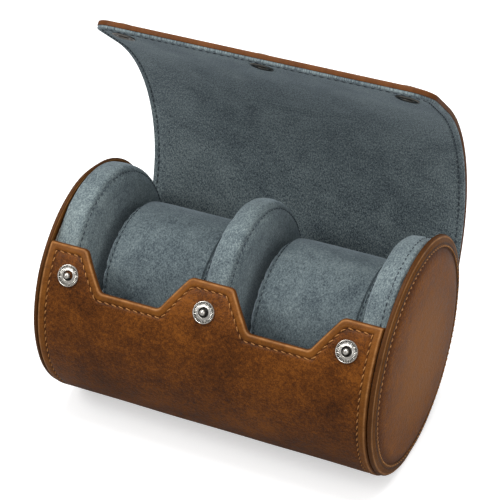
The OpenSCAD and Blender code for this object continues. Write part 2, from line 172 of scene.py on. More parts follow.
def grid_faces(rows, columns, copies=1):
    """Faces of a grid of points whose columns close on themselves, or of several such grids in turn."""
    i, j = np.meshgrid(np.arange(rows - 1), np.arange(columns), indexing="ij")
    k = (j + 1) % columns
    one = together(i * columns + j, (i + 1) * columns + j, (i + 1) * columns + k, i * columns + k)
    first = np.arange(copies)[:, None, None] * rows * columns
    return (one.reshape(-1, 4) + first).reshape(-1, 4).tolist()


def make_piece(name, grid, caps=True, uv=None, edge=None):
    """A closed mesh from a grid of points (rows, columns, 3) in metres, whose columns run round a section.
    The first and last rows are closed with one face each, or meet in a point. uv and edge are grids of
    the same size: a place on the skin, and the distance to its nearest edge in mm."""
    rows, columns = grid.shape[:2]
    faces = grid_faces(rows, columns)
    if caps:
        faces += [list(range(columns)), list(range((rows - 1) * columns, rows * columns))]
    return make_mesh(name, grid.reshape(-1, 3), faces, uv, edge)


def make_mesh(name, points, faces, uv=None, edge=None, sharp=math.radians(50)):
    """A mesh object at the origin, with doubles merged and faces turned outwards."""
    mesh = bpy.data.meshes.new(name)
    mesh.from_pydata(points.tolist(), [], faces)
    if uv is not None:
        layer = mesh.uv_layers.new(name="skin")
        corner = np.zeros(len(mesh.loops), np.int32)
        mesh.loops.foreach_get("vertex_index", corner)
        layer.data.foreach_set("uv", uv.reshape(-1, 2)[corner].astype(np.float32).ravel())
    if edge is not None:
        attribute = mesh.attributes.new("edge", "FLOAT", "POINT")
        attribute.data.foreach_set("value", edge.astype(np.float32).ravel())
    work = bmesh.new()
    work.from_mesh(mesh)
    bmesh.ops.remove_doubles(work, verts=work.verts, dist=1e-6)
    bmesh.ops.recalc_face_normals(work, faces=work.faces)
    work.to_mesh(mesh)
    work.free()
    mesh.shade_smooth()
    mesh.set_sharp_from_angle(angle=sharp)
    made = bpy.data.objects.new(name, mesh)
    scene.collection.objects.link(made)
    return made


def fit(piece, material, body, slot, *nodes):
    """Gives a piece its material and body, and hides the CAD nodes that it stands for. slot is not used."""
    piece.data.materials.append(material)
    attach(piece, body)
    if nodes:
        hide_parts(*nodes)


class Wire:
    """An output of a shader node. Sums and products of wires and numbers add Math nodes."""

    def __init__(self, tree, socket=None):
        self.tree = tree
        self.socket = socket

    def node(self, kind, settings, sockets, out=0):
        """Adds a node of any kind: its settings first, then its sockets, each a value or a wire."""
        made = self.tree.nodes.new("ShaderNode" + kind)
        for key, value in settings.items():
            if key == "stops":
                ramp = made.color_ramp
                for place, _ in value[2:]:
                    ramp.elements.new(place)
                for element, (place, shade) in zip(ramp.elements, value):
                    element.position = place
                    element.color = shade
            else:
                setattr(made, key, value)
        for key, value in sockets.items():
            if isinstance(value, Wire):
                self.tree.links.new(value.socket, made.inputs[key])
            else:
                made.inputs[key].default_value = value
        return Wire(self.tree, made.outputs[out])

    def maths(self, operation, *values):
        return self.node("Math", {"operation": operation}, dict(enumerate(values)))

    def __add__(self, other):
        return self.maths("ADD", self, other)

    def __sub__(self, other):
        return self.maths("SUBTRACT", self, other)

    def __rsub__(self, other):
        return self.maths("SUBTRACT", other, self)

    def __mul__(self, other):
        return self.maths("MULTIPLY", self, other)

    __radd__ = __add__
    __rmul__ = __mul__

    def between(self, low, high):
        """0 below low, 1 above high, and smooth between them."""
        return self.node("MapRange", {"interpolation_type": "SMOOTHSTEP"},
                         {"Value": self, "From Min": low, "From Max": high})


def srgb(red, green, blue):
    """A colour as seen on a screen, 0 to 255, as the shader's own numbers."""
    def linear(c):
        return c / 255 / 12.92 if c < 10.3 else ((c / 255 + 0.055) / 1.055) ** 2.4
    return (linear(red), linear(green), linear(blue), 1)


def new_material(name, constants, skin=None):
    """A material, its Principled shader with the constants set, a wire to start from, and the place on
    the object or, where skin names one, on its UV map."""
    material = bpy.data.materials.new(name)
    material.use_nodes = True
    shader = material.node_tree.nodes["Principled BSDF"]
    for socket, value in constants.items():
        shader.inputs[socket].default_value = value
    start = Wire(material.node_tree)
    if skin:
        return material, shader, start, start.node("UVMap", {"uv_map": skin}, {})
    return material, shader, start, start.node("TexCoord", {}, {}, "Object")


def noise(start, where, scale, detail=4, roughness=0.55, distortion=0):
    """Noise with features of about 1 / scale metres."""
    return start.node("TexNoise", {}, {"Vector": where, "Scale": scale, "Detail": detail,
                                       "Roughness": roughness, "Distortion": distortion}, "Fac")


def mix(start, mask, low, high):
    """Colour low where mask is 0 and high where it is 1."""
    return start.node("Mix", {"data_type": "RGBA"}, {0: mask, 6: low, 7: high}, 2)


def connect(start, shader, colour, roughness, height, depth, strength=1.0):
    """Feeds the shader with colour, roughness and a bump of the given depth in metres."""
    bump = start.node("Bump", {}, {"Strength": strength, "Distance": depth, "Height": height})
    for socket, wire in (("Base Color", colour), ("Roughness", roughness), ("Normal", bump)):
        start.tree.links.new(wire.socket, shader.inputs[socket])


# Pale tan of a painted highlight along a rolled edge's crest, together with rubbed wear.
crest_wear_and_highlight = srgb(172, 122, 74)
# Dark brown of a painted shade in a seam's groove.
seam_groove_shadow = srgb(46, 21, 6)
# Dark brown for a line along the very edge.
edge_dark_colour = srgb(60, 32, 12)
# Dark brown of a painted shade round the foot of a dome.
dome_foot_shadow = srgb(62, 28, 5)


def leather(name, dark, middle, light, edge_shade, hem_line, cloud=1.0, gloss=0.46, shine=0.12, dome_sheen=None):
    """Pull-up leather: dark clouds of wax, paler where it is rubbed or rolled, and a painted highlight along
    the crest of a rolled edge. It is darker along its very edge, and a painted shade lies in a seam's groove.
    On a domed panel, a painted sheen makes the middle paler, with a painted shade round the dome's foot."""
    material, shader, start, where = new_material(name, {"Specular IOR Level": shine}, "skin")
    edge = start.node("Attribute", {"attribute_name": "edge"}, {}, "Fac")
    clouds = noise(start, where, 30, 3, 0.5, 0.6)
    mottle = noise(start, where, 150, 7, 0.66, 0.4)
    specks = noise(start, where, 700, 4, 0.7)
    grain = noise(start, where, 2000, 2, 0.6)
    tone = (clouds - 0.5) * 0.95 * cloud + (mottle - 0.5) * 0.85 * cloud + (specks - 0.5) * 1.2 + grain
    skin = start.node("ValToRGB", {"stops": [(0.16, dark), (0.5, middle), (0.86, light)]}, {0: tone})
    warp = start.node("VectorMath", {"operation": "MULTIPLY_ADD"}, {
        0: start.node("TexNoise", {}, {"Vector": where, "Scale": 300, "Detail": 3}, "Color"),
        1: (0.0022, 0.0022, 0), 2: where})
    cracks = start.node("TexVoronoi", {"feature": "DISTANCE_TO_EDGE"}, {"Vector": warp, "Scale": 420},
                        "Distance")
    veins = (1 - cracks.between(0.0, 0.16)) * noise(start, where, 130, 3).between(0.45, 0.7)
    skin = mix(start, veins * 0.25, skin, light)
    rolled = 1 - edge.between(hem_line - 0.7, hem_line - 0.1)
    crest_highlight = edge.between(0.3, 0.7) * (1 - edge.between(0.8, 1.5)) * rolled
    rubbed = noise(start, where, 210, 5, 0.65).between(0.3, 0.7)
    skin = mix(start, rolled * (0.3 + 0.45 * rubbed), skin, edge_shade)
    # Painted highlight along the crest of a rolled edge, stronger where the leather is rubbed.
    skin = mix(start, crest_highlight * (0.25 + 0.5 * rubbed), skin, crest_wear_and_highlight)
    # Painted shade in the groove under a seam's thread.
    pressed = (1 - edge.between(hem_line, hem_line + 0.55)) * edge.between(hem_line - 0.75, hem_line - 0.1)
    skin = mix(start, pressed * 0.62, skin, seam_groove_shadow)
    # Darker along the very edge.
    edge_darkening = 1 - edge.between(0.1, 0.85)
    skin = mix(start, edge_darkening * 0.6, skin, edge_dark_colour)
    if dome_sheen is not None:
        # Painted sheen, paler towards the dome's middle.
        skin = mix(start, edge.between(8.0, 44.0) * 0.5 + (mottle - 0.5) * 0.6, skin, dome_sheen)
        # Painted shade round the dome's foot, beside the border's stitches.
        skin = mix(start, (1 - edge.between(9.8, 15.5)) * 0.75, skin, dome_foot_shadow)
    pebbles = start.node("TexVoronoi", {"feature": "SMOOTH_F1"}, {"Vector": warp, "Scale": 1500}, "Distance")
    height = pebbles * 0.35 + cracks.between(0.0, 0.2) * 0.3 + specks * 0.5 + mottle * 0.8
    rough = gloss + (mottle - 0.5) * 0.35 + (specks - 0.5) * 0.25 + rolled * 0.03
    connect(start, shader, skin, rough, height, 0.00022, 0.7)
    return material


cloud_dark = srgb(53, 26, 5)
cloud_middle = srgb(88, 47, 11)
cloud_light = srgb(124, 71, 20)
rolled_tan = srgb(120, 73, 24)
shell_skin = leather("cognac_leather", cloud_dark, cloud_middle, cloud_light, rolled_tan, HEM / MM)

roll = SHELL_T / 2
outer_insets = np.array([6.2, 5.4, 4.8, 4.4, 4.1, 3.9, 3.7, 3.5, 3.3, 3.0, 2.7, 2.4, 2.1, 1.9, 1.7]) * MM
inner_insets = np.array([2.4, 3.0, 3.7]) * MM
start_angle = -FOLD_JOIN / SHELL_R
level_angle = math.radians(162)
foot_angle = 1.12 * math.asin(FOOT_W / 2 / SHELL_R)


def shell_rows():
    """Rows of the shell's section, from the fold along the outside, over the front edge and back inside.
    Each is x, angle, radius, distance to the front edge and how much it faces outwards."""
    line = front_edge(outer_insets[0])
    top = front_angle(line[:, 1], SHELL_R)
    far = 9 * MM
    under = np.linspace(-foot_angle, foot_angle, 13) + math.pi / 2
    back = np.linspace(-start_angle, under[0], 40)[:-1]
    front = np.linspace(under[-1], level_angle, 34)[1:]
    for angle in join([back, under, front]):
        yield line[:, 0], angle, SHELL_R, far, 1.0
    for t in np.linspace(0, 1, 26)[1:-1]:
        angle = level_angle + (top - level_angle) * t
        yield line[:, 0], angle, SHELL_R, outer_insets[0] + (top - angle) * SHELL_R, 1.0

    def moved_in(inset, radius, facing_out):
        points = front_edge(inset)
        angle = front_angle(points[:, 1], radius)
        return points[:, 0], angle, radius, inset, facing_out

    for inset in outer_insets:
        yield moved_in(inset, SHELL_R, 1.0)
    for turn in np.radians(np.arange(12, 180, 12)):
        out = math.cos(turn)
        yield moved_in(roll * (1 - math.sin(turn)), SHELL_R - roll + roll * out, max(out, 0))
    for inset in inner_insets:
        yield moved_in(inset, SHELL_R - SHELL_T, 0.0)
    inner_r = SHELL_R - LEATHER_T
    x, last, _, _, _ = moved_in(HEM, inner_r, 0.0)
    for t in np.linspace(0, 1, 60):
        yield x, last + (-start_angle - last) * t, inner_r, far, 0.0


points, skin_uv, edge_mm = [], [], []
for x, angle, radius, from_front, facing_out in shell_rows():
    from_end = SHELL_HALF - np.abs(x)
    nearest = np.minimum(from_front, from_end)
    s = -angle * SHELL_R
    lift = sewn(nearest, HEM) + rounded(from_end, 1.1 * MM) + unevenness(x, s, 0.13 * MM)
    points.append(shell_point(x, angle, radius + facing_out * lift))
    skin_uv.append(together(x, s))
    edge_mm.append(nearest / MM)
shell = make_piece("shell_hide", np.stack(points, 1), uv=np.stack(skin_uv, 1), edge=np.stack(edge_mm, 1))
fit(shell, shell_skin, "case", "leather", "shell_leather")

# Thread
# The shell is sewn with one thick waxed thread, 3.2 mm to a stitch, that shows as short slanted beads
# along the front edge and down both ends to the fold.
THREAD_PITCH = 3.2 * MM
THREAD_R = 0.28 * MM


def distance_along(path):
    """How far along a path each of its points is."""
    return join([[0], np.cumsum(np.linalg.norm(np.diff(path, axis=0), axis=1))])


def stitch_tubes(path, normal, pitch, share, radius, slant=0.0):
    """Stitches along a path of points (n, 3) with the surface's normals. Each is a tube of 7 rings of 6
    points that rises out of the surface and dips back in, as a half sine, and turns across the path by
    slant. Gives the tubes and where each stands along the path."""
    along = distance_along(path)
    count = max(1, int(along[-1] / pitch))
    spot = (np.arange(count) + 0.5) * along[-1] / count
    t = np.linspace(0, 1, 7)
    place = np.clip(spot[:, None] + (t - 0.5) * share * pitch, 0, along[-1])
    middle, out = (np.stack([np.interp(place, along, v) for v in values.T], -1) for values in (path, normal))
    out /= np.linalg.norm(out, axis=-1, keepdims=True)
    way = middle[:, -1:] - middle[:, :1]
    way = way / np.linalg.norm(way, axis=-1, keepdims=True)
    side = np.cross(way, out)
    bow = np.sin(np.pi * t)[None, :, None]
    middle = middle + out * radius * (1.25 * bow ** 0.7 - 0.75) + side * slant * (t - 0.5)[None, :, None]
    ring = np.linspace(0, 2 * np.pi, 7)[:-1]
    thick = radius * (0.35 + 0.65 * bow ** 0.5)
    tubes = middle[:, :, None] + thick[:, :, None] * (
        np.cos(ring)[:, None] * side[:, :, None] + np.sin(ring)[:, None] * out[:, :, None])
    return tubes, spot


def make_tubes(name, tubes):
    """One mesh of many short tubes (tubes, rings, sides, 3), each closed at both ends."""
    count, rings, sides = tubes.shape[:3]
    first = np.arange(count)[:, None] * rings * sides + np.arange(sides)
    faces = grid_faces(rings, sides, count) + first[:, ::-1].tolist() + (first + (rings - 1) * sides).tolist()
    return make_mesh(name, tubes.reshape(-1, 3), faces, sharp=math.radians(80))


def thread(name, shade, dark):
    """Waxed thread: a twisted strand, darker in its turns."""
    material, shader, start, where = new_material(name, {"Specular IOR Level": 0.35})
    twist = noise(start, where, 1600, 2)
    tone = noise(start, where, 160, 2)
    colour = mix(start, twist.between(0.35, 0.65) * 0.7 + tone * 0.3, dark, shade)
    connect(start, shader, colour, 0.62 + (twist - 0.5) * 0.2, twist, 0.00012, 0.6)
    return material


tan_thread = thread("tan_thread", srgb(178, 122, 62), srgb(124, 78, 34))

# The one sewing line goes up the left end from the fold, along the front edge and down the right end.
line = front_edge(HEM)
line = line[np.abs(line[:, 0]) <= SHELL_HALF - HEM + 1e-9]
angle = front_angle(line[:, 1], SHELL_R)
down = np.linspace(-start_angle, angle[0], 200)[:-1]
line_x = join([np.full(199, HEM - SHELL_HALF), line[:, 0], np.full(199, SHELL_HALF - HEM)])
line_angle = join([down, angle, down[::-1]])
line_points = shell_point(line_x, line_angle, SHELL_R - 0.3 * MM)
line_normal = shell_point(line_x, line_angle, SHELL_R + 1 * MM) - shell_point(line_x, line_angle, SHELL_R)
line_normal += [0, 0, -1e-6]
tubes, _ = stitch_tubes(line_points, line_normal, THREAD_PITCH, 0.72, THREAD_R, 0.45 * MM)
tubes[..., 2] = np.maximum(tubes[..., 2], 0)
fit(make_tubes("shell_thread", tubes), tan_thread, "case", "leather")

# Lining and board of the shell
# Brushed suede is glued inside the drum from the fold to the turned front edge, over thin fibreboard.
LINING_R = 48.2 * MM
INSIDE_R = 47.3 * MM


def suede(name, base, coarse, skin=None):
    """Brushed suede: short nap that lies this way and that in cloudy patches, with fine specks."""
    material, shader, start, where = new_material(name, {
        "Specular IOR Level": 0.18, "Sheen Weight": 0.6, "Sheen Roughness": 0.45,
        "Sheen Tint": srgb(176, 190, 200)}, skin)
    lying = start.node("VectorMath", {"operation": "MULTIPLY"}, {0: where, 1: (1.0, 0.6, 0.75)})
    brushed = noise(start, where, 32, 4, 0.6, 0.8)
    patches = noise(start, where, 120, 4, 0.6, 0.4)
    nap = noise(start, lying, 2300, 3, 0.6)
    grain = noise(start, lying, 1250, 2, 0.6)
    tone = 0.5 + (brushed - 0.5) * 0.9 + (patches - 0.5) * 0.55
    tone = tone + (nap - 0.5) * 2.0 * coarse + (grain - 0.5) * coarse
    red, green, blue = base
    colour = start.node("ValToRGB", {"stops": [
        (0.05, srgb(red * 0.56, green * 0.58, blue * 0.62)), (0.5, srgb(red, green, blue)),
        (0.95, srgb(red * 1.38, green * 1.34, blue * 1.3))]}, {0: tone})
    height = nap * 0.6 + grain * 0.7 + patches * 0.6
    connect(start, shader, colour, 0.9 + (nap - 0.5) * 0.1, height, 0.0003, 0.75)
    return material


pad_suede = suede("pad_suede", (84, 95, 99), 0.9)
rows = []
edge_line = front_edge(HEM)
for radius, way in ((LINING_R, 1), (INSIDE_R, -1)):
    stop = front_angle(edge_line[:, 1], radius)
    for t in np.linspace(0, 1, 80)[::way]:
        rows.append(shell_point(edge_line[:, 0], -start_angle + (stop + start_angle) * t, radius))
lining = make_piece("shell_suede", np.stack(rows, 1))
fit(lining, pad_suede, "case", "suede", "shell_lining")


def dress(material, *names):
    """Puts a material on CAD nodes whose own shape is right."""
    for name in names:
        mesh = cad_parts[name].data
        mesh.materials.clear()
        mesh.materials.append(material)


# Board is pressed from grey-brown leather fibre, and pale foam has small round cells.
board_brown, shader, start, where = new_material("fibreboard", {"Specular IOR Level": 0.3})
fibre = noise(start, where, 700, 5, 0.7, 1.5)
colour = mix(start, fibre * 0.6 + noise(start, where, 60, 3) * 0.4, srgb(112, 88, 60), srgb(176, 150, 116))
connect(start, shader, colour, 0.8 + (fibre - 0.5) * 0.2, fibre, 0.0001)
foam_grey, shader, start, where = new_material("foam", {"Specular IOR Level": 0.2})
cells = start.node("TexVoronoi", {}, {"Vector": where, "Scale": 900}, "Distance")
colour = mix(start, cells, srgb(150, 150, 146), srgb(222, 221, 214))
connect(start, shader, colour, 0.85 + cells * 0.1, cells, 0.0003)
dress(board_brown, "shell_board")
dress(foam_grey, "left_end_pad", "right_end_pad", "left_pillow_foam", "right_pillow_foam")

# Ends
# A board disc with a foam pad closes each end under a domed leather panel. A narrow leather band is
# rolled round the disc's edge and sewn down through the panel's border with small close stitches.
RIM_R = 50.2 * MM
RIM_X = 72.8 * MM
ROLL_R = 1.1 * MM
DOME_EDGE_X = 74.8 * MM
DOME_H = 2.35 * MM
DOME_R = 45.2 * MM
RIM_SEAM_R = 45.75 * MM
RIM_SEAM_X = 75.27 * MM
RIM_PITCH = 2.5 * MM
RIM_THREAD_R = 0.3 * MM
LEFT_DRAWN_IN = 1.4 * MM


def turned_rows(profile, angles, side):
    """A profile of points (radius, x) turned about the drum's axis, and flat where it meets the floor;
    side is -1 for the left end."""
    radius, x = profile[:, 0, None], profile[:, 1, None]
    return together(side * x, radius * np.cos(angles), np.maximum(AXIS_H + radius * np.sin(angles), 0))


def smooth(t):
    """0 at 0 and below, 1 at 1 and above, and level at both."""
    t = np.clip(t, 0, 1)
    return t * t * (3 - 2 * t)


def rim_profile():
    """The rim's section as (radius, x): its outside, the rolled edge, up to the seam, under the panel."""
    turn = np.radians(np.linspace(0, 90, 13))
    roll_edge = together(RIM_R - ROLL_R + ROLL_R * np.cos(turn), 73.5 * MM + ROLL_R * np.sin(turn))
    border = MM * np.array([
        [48.7, 74.6], [48.4, 74.64], [48.1, 74.84], [47.7, 75.06], [47.2, 75.2], [46.6, 75.29],
        [46.1, 75.33], [45.7, 75.31], [45.4, 75.2], [45.15, 74.95], [44.95, 74.7], [44.8, 74.1]])
    start = [[46.2 * MM, RIM_X], [RIM_R - 0.2 * MM, RIM_X], [RIM_R, RIM_X + 0.2 * MM]]
    return join([start, roll_edge, border])


rim_angles = np.linspace(0, 2 * np.pi, 361)[:-1]
rim_tan = thread("rim_thread_tan", srgb(182, 130, 76), srgb(122, 78, 38))
rim_skin = leather("rim_leather", srgb(49, 25, 5), srgb(84, 48, 12), srgb(118, 73, 26), srgb(104, 63, 20), 3.4)
# The panel leather carries a painted sheen over its domed middle and a painted shade round its foot.
panel_skin = leather("panel_leather", srgb(74, 38, 8), srgb(110, 61, 15), srgb(146, 89, 29), srgb(110, 61, 15),
                     0.0, cloud=0.6, gloss=0.42, shine=0.1, dome_sheen=srgb(152, 98, 44))
for name, side in (("left", -1), ("right", 1)):
    profile = rim_profile()
    wave = 0.07 * MM * np.sin(rim_angles * 9) * np.sin(rim_angles * 4 + 1)
    grid = turned_rows(profile, rim_angles, side)
    grid[3:-1, :, 0] += side * wave
    if side < 0:
        turn = np.degrees(rim_angles)
        drawn = smooth((106 - turn) / 28) * smooth((turn - 4) / 20) * LEFT_DRAWN_IN
        drawn = drawn * (profile[:, 0, None] > 47.3 * MM)
        grid[..., 1] -= drawn * np.cos(rim_angles)
        grid[..., 2] -= drawn * np.sin(rim_angles)
    uv = together(rim_angles * RIM_R, distance_along(profile)[:, None])
    edge = np.broadcast_to(((RIM_R - profile[:, 0]) / MM)[:, None], grid.shape[:2])
    rim = make_piece(name + "_rim_hide", join([grid, grid[:1]]), caps=False,
                     uv=join([uv, uv[:1]]), edge=join([edge, edge[:1]]))
    fit(rim, rim_skin, "case", "rim_leather", name + "_end_rim")

    q = 1 - np.linspace(1, 0, 52) ** 1.5
    dome = DOME_EDGE_X + DOME_H * (1 - 0.33 * q ** 2 - 0.67 * q ** 13)
    back = MM * np.array([[45.2, 74.4], [45.0, 73.9], [30, 73.72], [0, 73.72]])
    panel_line = join([together(q * DOME_R, dome), back])
    panel_grid = turned_rows(panel_line, rim_angles, side)
    inward = np.broadcast_to((55 - panel_line[:, 0] / MM)[:, None], panel_grid.shape[:2])
    panel = make_piece(name + "_panel_hide", panel_grid, caps=False, uv=panel_grid[..., 1:], edge=inward)
    fit(panel, panel_skin, "case", "end_leather", name + "_end_panel")

    ring = turned_rows(np.array([[RIM_SEAM_R, RIM_SEAM_X]]), rim_angles, side)[0]
    path = join([ring, ring[:1]])
    outwards = np.tile([side, 0.0, 0.0], (len(path), 1))
    tubes, _ = stitch_tubes(path, outwards, RIM_PITCH, 0.78, RIM_THREAD_R, 0.5 * MM)
    fit(make_tubes(name + "_rim_thread", tubes), rim_tan, "case", "rim_leather")

# Padded walls
# Discs of foam stand at both ends and in the middle, each in a suede cover sewn from a round face and a
# strip. The cover is pulled over the foam, so it swells between its seam and its edges.
WALL_R = 46.9 * MM
WALL_ROUND = 3 * MM
WALL_CROWN = 0.7 * MM
END_WALL = (61.6 * MM, 72.8 * MM)
MIDDLE_WALL = (-5.7 * MM, 5.7 * MM)
wall_flat = AXIS_H - (SHELL_R - WALL_R)
WALL_SWELL = 3.8 * MM
SLACK = 0.45 * MM
CLOTH_SCALE = 10


def wall_rows(outline, angles, swell=WALL_SWELL):
    """A wall: an outline of (radius, x) turned about the drum's axis and cut flat underneath. Over the
    top nothing holds its padding, and it swells out further."""
    turn = np.degrees(angles)
    grown = 1 + swell / WALL_R * smooth((turn - 38) / 54) * smooth((136 - turn) / 30)
    radius = outline[:, 0, None] * grown
    z = np.maximum(radius * np.sin(angles), -wall_flat)
    return together(outline[:, 1, None], radius * np.cos(angles), AXIS_H + z)


def pad_outline(low, high, radius, low_round, high_round):
    """Half outline of a padded disc as (radius, x), from the middle of one face to the middle of the
    other: crowned faces, quarter-round edges and a band."""
    def side(x, way, turned):
        face = np.linspace(0, 1, 16)
        turn = np.radians(np.linspace(0, 90, 11))[1:]
        near = together((radius - turned) * face, x + way * WALL_CROWN * face ** 2)
        edge_x = x + way * (WALL_CROWN + turned * (1 - np.cos(turn)))
        return join([near, together(radius - turned + turned * np.sin(turn), edge_x)])
    left, right = side(low, 1, low_round), side(high, -1, high_round)[::-1]
    band_x = np.linspace(left[-1, 1], right[0, 1], 17)[1:-1]
    band = together(radius + 0.25 * MM * np.sin(np.linspace(0, np.pi, 17)[1:-1]), band_x)
    return join([left, band, right])


def draw_in(outline, seam, depth, width):
    """Draws an outline in, along its own normal, at its point nearest to seam. Gives the new outline and
    the seam's row and normal."""
    row = int(np.argmin(np.hypot(*(outline - seam).T)))
    along = join([[0], np.cumsum(np.hypot(*np.diff(outline, axis=0).T))])
    tangent = np.gradient(outline, axis=0)
    tangent /= np.hypot(*tangent.T)[:, None]
    normal = together(tangent[:, 1], -tangent[:, 0])
    dip = depth * np.exp(-((along - along[row]) / width) ** 2)
    return outline - normal * dip[:, None], row, normal[row]


def inflate(points, pinned, reach):
    """Lets a closed cover of points (rows, columns, 3) swell as cloth under pressure. Pinned points are
    held and none moves further than reach. edge carries each point's place in the grid to the mesh."""
    rows, columns = points.shape[:2]
    made = make_piece("cover_cloth", points * CLOTH_SCALE, caps=False, edge=np.arange(rows * columns))
    mesh = made.data
    start = np.zeros(len(mesh.vertices) * 3)
    mesh.vertices.foreach_get("co", start)
    start = start.reshape(-1, 3)
    kept = np.zeros(len(mesh.vertices), np.float32)
    mesh.attributes["edge"].data.foreach_get("value", kept)
    index = np.full(rows * columns, -1)
    index[kept.round().astype(int)] = np.arange(len(kept))
    index = index.reshape(rows, columns)
    index[[0, -1]] = index[[0, -1]].max(1, keepdims=True)
    group = made.vertex_groups.new(name="held")
    group.add(np.unique(index[pinned]).tolist(), 1.0, "REPLACE")
    cloth = made.modifiers.new("cloth", "CLOTH")
    for key, value in dict(
            quality=5, mass=0.3, tension_stiffness=15, compression_stiffness=15, bending_stiffness=0.4,
            use_pressure=True, uniform_pressure_force=4.0, shrink_min=-0.025, vertex_group_mass="held").items():
        setattr(cloth.settings, key, value)
    cloth.settings.effector_weights.gravity = 0
    for step in range(1, 21):
        scene.frame_set(step)
    swollen = np.zeros(len(mesh.vertices) * 3)
    shown = made.evaluated_get(bpy.context.evaluated_depsgraph_get())
    shown.data.vertices.foreach_get("co", swollen)
    scene.frame_set(1)
    move = ((swollen.reshape(-1, 3) - start) / CLOTH_SCALE)[index]
    length = np.linalg.norm(move, axis=-1, keepdims=True)
    bpy.data.objects.remove(made)
    return points + move * np.minimum(1, reach / np.maximum(length, 1e-9))


around = np.linspace(0, 2 * np.pi, 161)[:-1]
dark_thread = thread("suede_thread", srgb(70, 82, 92), srgb(30, 36, 42))
SEAM_PITCH = 2.7 * MM
SEAM_R = 0.21 * MM


def seam_tubes(ring, middle, lean=0.0):
    """Stitches along a closed ring of points round a middle; lean tips their outward side along X."""
    path = join([ring, ring[:1]])
    normal = path - middle
    normal[:, 0] = 0
    normal /= np.linalg.norm(normal, axis=1, keepdims=True)
    normal[:, 0] = lean
    return stitch_tubes(path + normal * 0.06 * MM, normal, SEAM_PITCH, 0.66, SEAM_R)[0]


# A lighter copy of the pillows' suede: painted light that makes the walls brighter than the pillows lying
# shaded between them.
wall_suede = suede("wall_suede", (103, 115, 118), 0.85)
WALLS = (
    ("left_end_wall", (-END_WALL[1], 0.3 * MM - END_WALL[0]), (1.0, 2.7), None),
    ("middle_wall", (MIDDLE_WALL[0], MIDDLE_WALL[1] + 0.4 * MM), (WALL_ROUND / MM, 3.2), None),
    ("right_end_wall", (END_WALL[0] - 1 * MM, END_WALL[1]), (WALL_ROUND / MM, 1.0), END_WALL[1] - 3.4 * MM))
for name, (low, high), (low_round, high_round), seam_x in WALLS:
    outline = pad_outline(low, high, WALL_R - SLACK, low_round * MM, high_round * MM)
    seam = (WALL_R - SLACK - high_round * MM, high - WALL_CROWN) if seam_x is None else (WALL_R - SLACK, seam_x)
    outline, seam_row, seam_normal = draw_in(outline, seam, 0.5 * MM, 0.6 * MM)
    cover_points = wall_rows(outline, around)
    held = np.zeros(cover_points.shape[:2], bool)
    held[[seam_row, 0, -1]] = True
    held |= cover_points[..., 2] < AXIS_H - wall_flat + 0.5 * MM
    cover = make_piece(name + "_suede", inflate(cover_points, held, 0.6 * MM), caps=False)
    fit(cover, wall_suede, "case", "suede", name + "_cover")
    tilt = seam_normal[1] / max(seam_normal[0], 0.3)
    seam = make_tubes(name + "_thread", seam_tubes(cover_points[seam_row], (0, 0, AXIS_H), tilt))
    fit(seam, dark_thread, "case", "suede")
    core_outline = pad_outline(low + 1.3 * MM, high - 1.3 * MM, WALL_R - 2.6 * MM, 2 * MM, 2 * MM)
    core = make_piece(name + "_core", wall_rows(core_outline, around), caps=False)
    fit(core, foam_grey, "case", "foam", name + "_foam")
    for piece in (cover, seam, core):
        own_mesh(piece)

STIFFENER_R = 42 * MM
for name, low, high in (("left_end", -71.8 * MM, -70 * MM), ("middle_wall", -0.75 * MM, 0.75 * MM),
                        ("right_end", 70 * MM, 71.8 * MM)):
    disc = np.array([[0, low], [STIFFENER_R, low], [STIFFENER_R, high], [0, high]])
    stiffener = make_piece(name + "_stiffener", wall_rows(disc, around, 0), caps=False)
    fit(stiffener, board_brown, "case", "board", name + "_board")

# Pillows
# Each bay holds a stuffed suede pillow that a watch is strapped round. Its round ends are sewn in with a
# seam that draws the cover in, and the pillow lifts straight out.
PILLOW_W = 48.6 * MM
PILLOW_X = 33.65 * MM
PUSHED = 1.5 * MM
PILLOW_R = 31.5 * MM
PILLOW_TOP = 34.9 * MM
PILLOW_BACK = 1.5 * MM
PILLOW_CLEAR = 0.3 * MM
pillow_low = -(AXIS_H - (SHELL_R - INSIDE_R)) + PILLOW_CLEAR
PILLOW_SWELL = 0.9 * MM
pillow_seam = 3.3 * MM


def pillow_outline():
    """Half outline of a pillow from the middle of one end to that of the other, as places along it and
    how far its oval is drawn in: a crowned end, a soft edge, a seam and a full body."""
    q = np.linspace(0, 1, 15)
    end = together(1.5 * MM * q ** 2.5, (PILLOW_R - 2.6 * MM) * (1 - q) + 2.6 * MM)
    turn = np.radians(np.linspace(0, 90, 8))[1:]
    edge = together((1.5 + 1.8 * (1 - np.cos(turn))) * MM, (0.9 + 1.7 * (1 - np.sin(turn))) * MM)
    half_body = np.linspace(pillow_seam + 0.3 * MM, PILLOW_W / 2, 19)
    drawn = (0.9 * np.exp(-(half_body - pillow_seam) / (2.2 * MM)) + 0.9) * MM
    half = join([end, edge, together(half_body, drawn)])
    half[:, 1] += 0.8 * MM * np.exp(-((half[:, 0] - pillow_seam) / (0.5 * MM)) ** 2) * (half[:, 1] < 4 * MM)
    return join([half, half[-2::-1] * [-1, 1] + [PILLOW_W, 0]])


def pillow_rows(middle_x, outline, angles):
    """An upright oval at each place of the outline: half circles at the top and bottom with straight
    sides between, drawn in by the outline's second number."""
    place = middle_x - PILLOW_W / 2 + outline[:, 0, None]
    radius = PILLOW_R - outline[:, 1, None]
    high, low = PILLOW_TOP - PILLOW_R, pillow_low + PILLOW_R
    share = np.clip(radius / PILLOW_R * 1.3, 0, 1)
    lift = np.where(np.sin(angles) > 0, high, low) * share
    y = PILLOW_BACK + radius * np.cos(angles)
    return together(place, y, AXIS_H + lift + radius * np.sin(angles))


